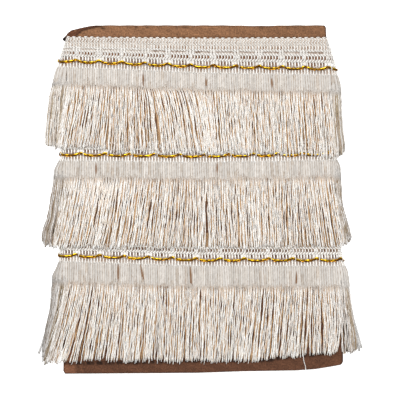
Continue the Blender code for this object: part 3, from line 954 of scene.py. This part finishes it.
def make_band(first, last, seed):
    """The finely ribbed band under the gold thread, where the strands are bound side by side."""
    chance = np.random.default_rng(seed)
    ribs = int((last - first) / RIB)
    columns = 4 * ribs + 1
    s = np.linspace(first, last, columns)
    shares = np.array([0.0, 0.1, 0.2, 0.32, 0.44, 0.56, 0.68, 0.8, 0.9, 1.0])
    rib = np.minimum(np.arange(columns) // 4, ribs - 1)
    foot = turn_value(place_of(s), "bound") + chance.uniform(-1.4, 1.0, ribs)[rib]
    lengths = np.broadcast_to(s, (len(shares), columns)).copy()
    below = mix(6.0, foot[None, :], shares[:, None])
    height = chance.uniform(0.25, 0.7, (len(shares), ribs))[:, rib]
    profile = np.array([0.0, 0.8, 1.0, 0.8])[np.arange(columns) % 4]
    out = BAND_OUT - 0.6 + height * profile
    out += 0.15 * waver(lengths, seed + 1, [(26, 1), (11, 0.5)]) * shares[:, None]
    lengths += 0.5 * waver(s, seed + 2, [(40, 1), (17, 0.6)])[None, :] * shares[:, None]
    out[0] -= 0.4
    out[-1] -= 0.35
    slit = slit_depth(s, below)
    out -= 0.7 * slit
    points = winding(lengths, below, out, np.full(out.shape, BAND_OUT)).reshape(-1, 3)
    quads, _, _ = grid_quads(len(shares), columns)
    uneven = 1 + chance.uniform(-0.08, 0.08, (len(shares), ribs))[:, rib]
    shade = tints_of(BAND * 1.16, 0.12, ribs, chance)[rib][None] * uneven[..., None]
    # Some ribs are browner for a part of their length
    start = chance.uniform(-0.5, 1, ribs)
    end = start + chance.uniform(0.3, 1.2, ribs)
    dark_stretch = (shares[:, None] > start) & (shares[:, None] < end) & (chance.uniform(0, 1, ribs) < 0.15)
    shade = shade * np.where(dark_stretch[:, rib, None], DARK_RIB, 1.0)
    # The furrows between the ribs carry painted brown shade, some of them much
    furrow_shade = mix(FURROW_FAINT_SHADE, FURROW_DEEP_SHADE, chance.uniform(0, 1, (len(shares), ribs, 1)) ** 2.5)
    shade = shade * np.where(profile[None, :, None] == 0, furrow_shade[:, rib], 1.0)
    shade = shade * (1 + 0.05 * waver(s, seed + 3, [(5.5, 1), (9, 1), (21, 1)]))[None, :, None]
    shade = shade * mix(1, side_shade(s), 0.45)[None]
    shade = mix(shade, SLIT_BROWN, slit[..., None])
    uvs = np.stack([lengths, below], -1).reshape(-1, 2)[quads]
    return points, quads[:, ::-1], uvs[:, ::-1], shade.reshape(-1, 3)


def layer_outs(place, below):
    """The inner and outer bounds of the loose strands at places and distances down."""
    share = place - np.floor(place)
    under = np.choose(leg_of(place), [0 * share, share, 0 * share + 1, 1 - share])
    bounds = []
    for name in ("inner", "outer"):
        card, heading, floor = (np.interp(below, layer["below"], layer[name]) for layer in LAYERS.values())
        over = np.where(place < BACK, card, heading)
        bounds.append(mix(over, floor, under))
    return bounds


# The layers of strands from the card outwards: how deep in the skirt, the gap between strands on a front,
# its rings, the colour of its yarn with painted shade that darkens the lower layers, how much that varies,
# how thick it is, how much of it is painted as brown shade in gaps, how much darker and browner painted
# shade makes its underside, how loosely it wavers, and the share that stands away
STRAND_LAYERS = (
    {
        "depth": 0.45, "pitch": 1.5, "rings": 14, "tint": (0.53, 0.372, 0.225), "spread": 0.12, "size": 0.70,
        "gaps": 0.6, "under": (0.74, 0.5, 0.34), "loose": 1.0, "flung": 0,
    },
    {
        "depth": 0.78, "pitch": 1.6, "rings": 30, "tint": (0.745, 0.74, 0.735), "spread": 0.06, "size": 0.72,
        "gaps": 0.15, "under": (0.78, 0.55, 0.30), "loose": 0.8, "flung": 0,
    },
    {
        "depth": 0.98, "pitch": 2.6, "rings": 34, "tint": (0.955, 1.015, 1.07), "spread": 0.06, "size": 0.48,
        "gaps": 0.05, "under": (0.74, 0.53, 0.28), "loose": 0.55, "flung": 0,
    },
)
# What is different round the card's edges, where strands stand apart with others in their shade between
SIDE_LAYERS = (
    {"pitch": 1.6, "spread": 0.45, "gaps": 0.4, "flung": 0},
    {"pitch": 1.75, "spread": 0.6, "gaps": 0.4, "flung": 0},
    {"pitch": 4.4, "spread": 0.2, "gaps": 0.4, "flung": 0.05},
)
# The colours of those layers there, with the lower ones darkened by painted shade, and the painted shade on
# their undersides, for each turn
SIDE_TINTS = (
    ((0.50, 0.44, 0.38), (0.76, 0.73, 0.70), (1.0, 1.0, 1.0)),
    ((0.40, 0.34, 0.29), (0.70, 0.67, 0.64), (1.0, 1.0, 1.0)),
    ((0.55, 0.49, 0.43), (0.82, 0.80, 0.77), (1.0, 1.0, 1.0)),
)
SIDE_UNDERSIDE_SHADE = ((0.42, 0.37, 0.33), (0.55, 0.50, 0.46), (0.68, 0.64, 0.60))
# How the strands hang on each leg: how crowded, how much they gather in clumps, and the share that crosses
LEG_LOOKS = ((1.0, 1.0, 0.15), (2.4, 0.8, 0.2), (1.0, 0.8, 0.15), (2.4, 0.8, 0.2))
# The waves that gather strands in clumps, by length and size, and those that each strand kept: from and to
# what length, and how far aside
CLUMPS = [(7, 0.3), (11, 0.35), (17, 0.4), (29, 0.5), (60, 1.0)]
CRIMPS = ((6, 10, 0.2), (12, 20, 0.34), (28, 50, 0.6))
# How much lower than wide a strand is
FLATNESS = 0.86
# The painted shade of the yarn in the deep gaps between strands, and the colour of the one patch where they
# are matted
GAP_SHADE_BROWN = np.array([0.22, 0.08, 0.006])
MATTED = np.array([0.80, 0.73, 0.655])


def strands(first, last, layer, crowd, seed, spread, cross):
    """One layer of loose strands that hang from the band between two lengths along the trim."""
    chance = np.random.default_rng(seed)
    n = int((last - first) / layer["pitch"] * crowd)
    rings = layer["rings"]
    root = first + (np.arange(n) + chance.uniform(0.38, 0.62, n)) * (last - first) / n
    place = place_of(root)
    leg = leg_of(place)
    bound = turn_value(place, "bound")
    uneven = chance.normal(0, 0.9, n) + 0.9 * waver(root, 77, [(41, 1), (13, 0.8)])
    tip = turn_value(place, "tip")
    for k, table in enumerate(TIPS):
        # A turn's tips keep their length a little way round both edges of the card
        here = place - 4 * k
        away = np.maximum(np.maximum(-here, here - 1), 0)
        tip = mix(tip, value_at(table, here), np.clip(1 - 2 * away, 0, 1))
    long = tip + np.clip(uneven, -4, 3) - 6 * (1 - layer["depth"])
    # The strands that stand farthest off the card's side edges end a little higher
    long -= np.where(leg == RIGHT_SIDE, 3.5, 3) * np.where(leg % 2 == 1, np.sin(math.pi * place) ** 2, 0)
    t = np.linspace(0, 1, rings)[None, :]
    start = bound - chance.uniform(1.0, 4.0, n)
    start -= 7 * (chance.uniform(0, 1, n) < 0.25) * chance.uniform(0, 1, n)
    below = mix(start[:, None], long[:, None], t)
    free = np.clip((below - bound[:, None]) / (long - bound)[:, None], 0, 1)
    lean = np.zeros(n)
    for k, table in enumerate(LEANS):
        here = place - 4 * k
        lean += np.where(np.abs(here - 0.5) < 1, value_at(table, here), 0)
    clump = waver(root, seed + 1, CLUMPS) * spread
    own = chance.normal(0, 0.5, n) * spread * layer["loose"]
    crossing = chance.uniform(0, 1, n) < cross
    own += np.where(crossing, chance.normal(0, 4.0, n), 0)
    # Those by the right edge of the lowest front part from each other only lower down. Those left of the
    # middle of the topmost front sweep aside at once and then hang straight.
    bend = (chance.uniform(0.8, 1.5, n) + 1.4 * ((place > 0.93) & (place < 1)))[:, None]
    bend = np.where(np.abs(place - 8.40)[:, None] < 0.12, 0.55 * bend, bend)
    sway = (lean + clump + own)[:, None] * free ** bend
    crimp = np.zeros_like(below)
    lift = np.zeros_like(below)
    for low, high, size in CRIMPS:
        waves = 2 * math.pi * below / chance.uniform(low, high, n)[:, None]
        aside = layer["loose"] * size * chance.uniform(0.4, 1.2, n)[:, None]
        crimp += aside * np.sin(waves + chance.uniform(0, 6.3, n)[:, None])
        lift += 0.35 * size * np.sin(waves + chance.uniform(0, 6.3, n)[:, None])
    loose = np.minimum(free * 6, 1)
    inner, outer = layer_outs(np.broadcast_to(place[:, None], below.shape), below)
    tight = np.maximum(stretch_at(root[:, None] + 0.5 * sway, below, outer, outer), 1)
    s = root[:, None] + (sway + crimp * loose) / tight
    level = layer["depth"] + chance.normal(0, 0.10, n)
    out = mix(inner + 0.55, outer - 0.45, level[:, None]) + lift * loose * 0.6
    out = np.maximum(out, inner + 0.3)
    # The tips settle on what lies under them, the card or the next turn's heading
    level = np.where(place < BACK, 0.6, HEADING_OUT)[:, None] + 0.5 + 0.8 * layer["depth"]
    out = mix(out, np.minimum(out, level), np.clip((below - tip[:, None] + 18) / 18, 0, 1) ** 2)
    # A few round the edges stand away from the rest by their tips
    flung = (chance.uniform(0, 1, n) < layer["flung"]) * np.sin(math.pi * place) ** 2
    out += (flung * chance.uniform(1.5, 4.0, n))[:, None] * free ** 4
    out = mix(BAND_OUT - 0.55, out, np.clip((below - bound[:, None] + 1) / 6, 0, 1))
    out = np.where((leg == BACK)[:, None], np.minimum(out, FLOOR_TO_CARD - 0.75), out)
    centres = np.stack([s, below, out], -1)
    size = layer["size"] * chance.uniform(0.82, 1.12, n)[:, None] * np.ones_like(below)
    plies = 2 * math.pi * below / chance.uniform(5, 9, n)[:, None]
    size *= 1 + 0.10 * np.sin(plies + chance.uniform(0, 6, n)[:, None])
    size[:, -1] *= 0.92
    twist = chance.uniform(0, 6.3, n)[:, None] + 0.35 * np.arange(rings)[None, :]
    thick = size * FLATNESS
    points, quads, uvs = tubes(centres, size, thick, 4, twist, outer, stretch_at(s, below, out, outer))
    tints = tints_of(np.array(layer["tint"]), layer["spread"], n, chance)[:, None, :]
    # Short stretches of the lower strands are painted the brown shade that shows through the gaps of the
    # upper ones
    patch = chance.uniform(0, 1, (n, rings))
    patch = (patch + np.roll(patch, 1, axis=1) + np.roll(patch, 2, axis=1)) / 3
    deep = np.clip((0.42 - patch) / 0.12, 0, 1) * chance.uniform(0.4, 1.0, (n, 1)) * layer["gaps"]
    deep *= np.clip((1 - free) * 12, 0, 1)
    # There are few gaps at one matted patch near the left of the middle front
    matted = hill(place[:, None], 4.155, 0.06) * hill(below, 38, 14, 4)
    deep *= 1 - matted
    tints = mix(mix(tints, GAP_SHADE_BROWN, deep[..., None]), MATTED, 0.75 * matted[..., None])
    # The yarn is as dull as the bound band where it leaves it, with painted shade round the card's edges
    # and painted shade on the underside of each strand, browner below and between the strands
    loose = np.clip((below - bound[:, None] + 1.5) / 5, 0, 1)[..., None]
    tints = mix(BAND * 1.08, tints, loose) * mix(1, side_shade(s), 0.5 + 0.5 * free[..., None])
    raised = turned_section(size, thick, 4, twist)[1] / size[..., None]
    light = np.clip(0.2 + 1.0 * raised + 0.5 * matted[..., None], 0, 1)[..., None]
    tints = tints[:, :, None, :] * mix(np.array(layer["under"]), 1, light)
    return points, quads, uvs, tints.reshape(-1, 3)


# The strands that lie alone: place, drift, from and to what depth, from and to how far out, radius and tone.
# Round the card's sides the tone is painted shade.
# The first is a thin thread that has slipped down past the others near the lower right.
LONE_STRANDS = (
    (0.846, 1.4, 90, 110.5, 2.2, 0.8, 0.34, 1.0),
    (1.50, 0.0, 46, 89.0, 4.4, 8.6, 0.85, 0.62),
    (1.46, -0.6, 50, 92.0, 4.0, 6.2, 0.8, 0.55),
    (-0.50, 0.0, 74, 99.0, 4.0, 6.2, 1.0, 0.6),
)
LONE_YARN = np.array([0.80, 0.78, 0.75])


def lone_strand(place, drift, start, end, near, far, radius, tone):
    """One strand that lies or stands away from the others of the lowest turn."""
    t = np.linspace(0, 1, 12)
    s = length_at(place) + drift * t + 0.3 * np.sin(9 * t)
    centres = np.stack([s, mix(start, end, t), mix(near, far, t ** 1.6)], -1)[None]
    size = radius * np.interp(t, [0, 0.8, 1], [1, 1, 1.4])[None]
    outer = np.full(size.shape, 2.6 if 0 < place < 1 else 5.2)
    points, quads, uvs = tubes(centres, size, size, 4, np.zeros(size.shape), outer)
    return points, quads, uvs, np.broadcast_to(tone * LONE_YARN, points.shape)


def stretches_of(turn):
    """Where a turn's strands hang: the leg, and the first and the last length along the trim."""
    start = 4 * turn
    # The last turn ends on the back. In place of a left side it has the one before the lowest turn.
    left = start + 3 if turn < len(TURNS) - 1 else -1
    stretches = [
        (FRONT, length_at(start), length_at(start + 1)),
        (RIGHT_SIDE, length_at(start + 1), length_at(start + 2)),
        (BACK, length_at(start + 2), min(length_at(start + 3), TURN_MARKS[turn + 1])),
        (LEFT_SIDE, length_at(left), length_at(left + 1) + 4),
    ]
    if turn == 0:
        stretches.append((BACK, TRIM_START, length_at(-1)))
    return stretches


def layer_on(leg, turn, k):
    """A layer of strands as it is on a leg of a turn."""
    layer = STRAND_LAYERS[k]
    if leg == FRONT:
        return layer
    if leg == BACK:
        return {**layer, "rings": 14}
    tier = turn if leg == RIGHT_SIDE else (turn + 1) % len(TURNS)
    return {**layer, **SIDE_LAYERS[k], "tint": SIDE_TINTS[tier][k], "under": SIDE_UNDERSIDE_SHADE[tier]}


def make_skirt():
    bands = []
    hung = []
    for turn in range(len(TURNS)):
        batch = make_band(TURN_MARKS[turn], TURN_MARKS[turn + 1], 31 + turn)
        bands.append(mesh_object(f"fringe_band_{turn + 1}", batch, BAND_YARN))
        batches = [lone_strand(*row) for row in LONE_STRANDS] if turn == 0 else []
        for i, (leg, low, high) in enumerate(stretches_of(turn)):
            crowd, spread, cross = LEG_LOOKS[leg]
            for k in range(len(STRAND_LAYERS)):
                seed = 100 * (turn + 1) + 10 * i + k
                batches.append(strands(low, high, layer_on(leg, turn, k), crowd, seed, spread, cross))
        hung.append(mesh_object(f"fringe_strands_{turn + 1}", join(batches), STRAND_YARN))
    for piece in bands + hung:
        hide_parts("fringe")
    return bands, hung


# The studio, in metres

CAMERA_PLACE = (MM * -0.66, MM * -0.51, 1.6)
LENS = 142.9
WORLD_STRENGTH = 0.32
FLOOR_SIDE = 4.0
FLOOR_LOOK = {
    "Base Color": (0.9, 0.9, 0.9, 1), "Roughness": 0.9,
    "Emission Color": (1, 1, 1, 1), "Emission Strength": 0.55,
}


def area_light(name, place, size, energy):
    """A lamp that faces the origin."""
    data = bpy.data.lights.new(name, "AREA")
    data.shape = "RECTANGLE"
    data.size, data.size_y = size
    data.energy = energy
    lamp = bpy.data.objects.new(name, data)
    lamp.location = place
    lamp.rotation_mode = "QUATERNION"
    lamp.rotation_quaternion = (-Vector(place)).to_track_quat("-Z", "Y")
    bpy.context.scene.collection.objects.link(lamp)


def make_studio():
    scene = bpy.context.scene
    data = bpy.data.cameras.new("camera")
    data.sensor_width = 36
    data.lens = LENS
    data.clip_end = 20
    camera = bpy.data.objects.new("camera", data)
    camera.location = CAMERA_PLACE
    scene.collection.objects.link(camera)
    scene.camera = camera
    scene.view_settings.view_transform = "Standard"
    world = bpy.data.worlds.new("studio")
    scene.world = world
    world.use_nodes = True
    put(world.node_tree.nodes["Background"], {"Color": (1, 1, 1, 1), "Strength": WORLD_STRENGTH})
    area_light("key", (-0.35, 1.25, 1.15), (0.9, 0.5), 13)
    area_light("overhead", (0.0, 0.1, 1.9), (0.6, 0.6), 33)
    mesh = bpy.data.meshes.new("floor")
    side = FLOOR_SIDE
    corners = [(-side, -side, 0), (side, -side, 0), (side, side, 0), (-side, side, 0)]
    mesh.from_pydata(corners, [], [(0, 1, 2, 3)])
    floor = bpy.data.objects.new("floor", mesh)
    scene.collection.objects.link(floor)
    mesh.materials.append(material_of("paper_floor", FLOOR_LOOK)[0])


make_card()
ground, stitched = make_heading()
gold = make_gold()
bands, hung = make_skirt()
make_studio()
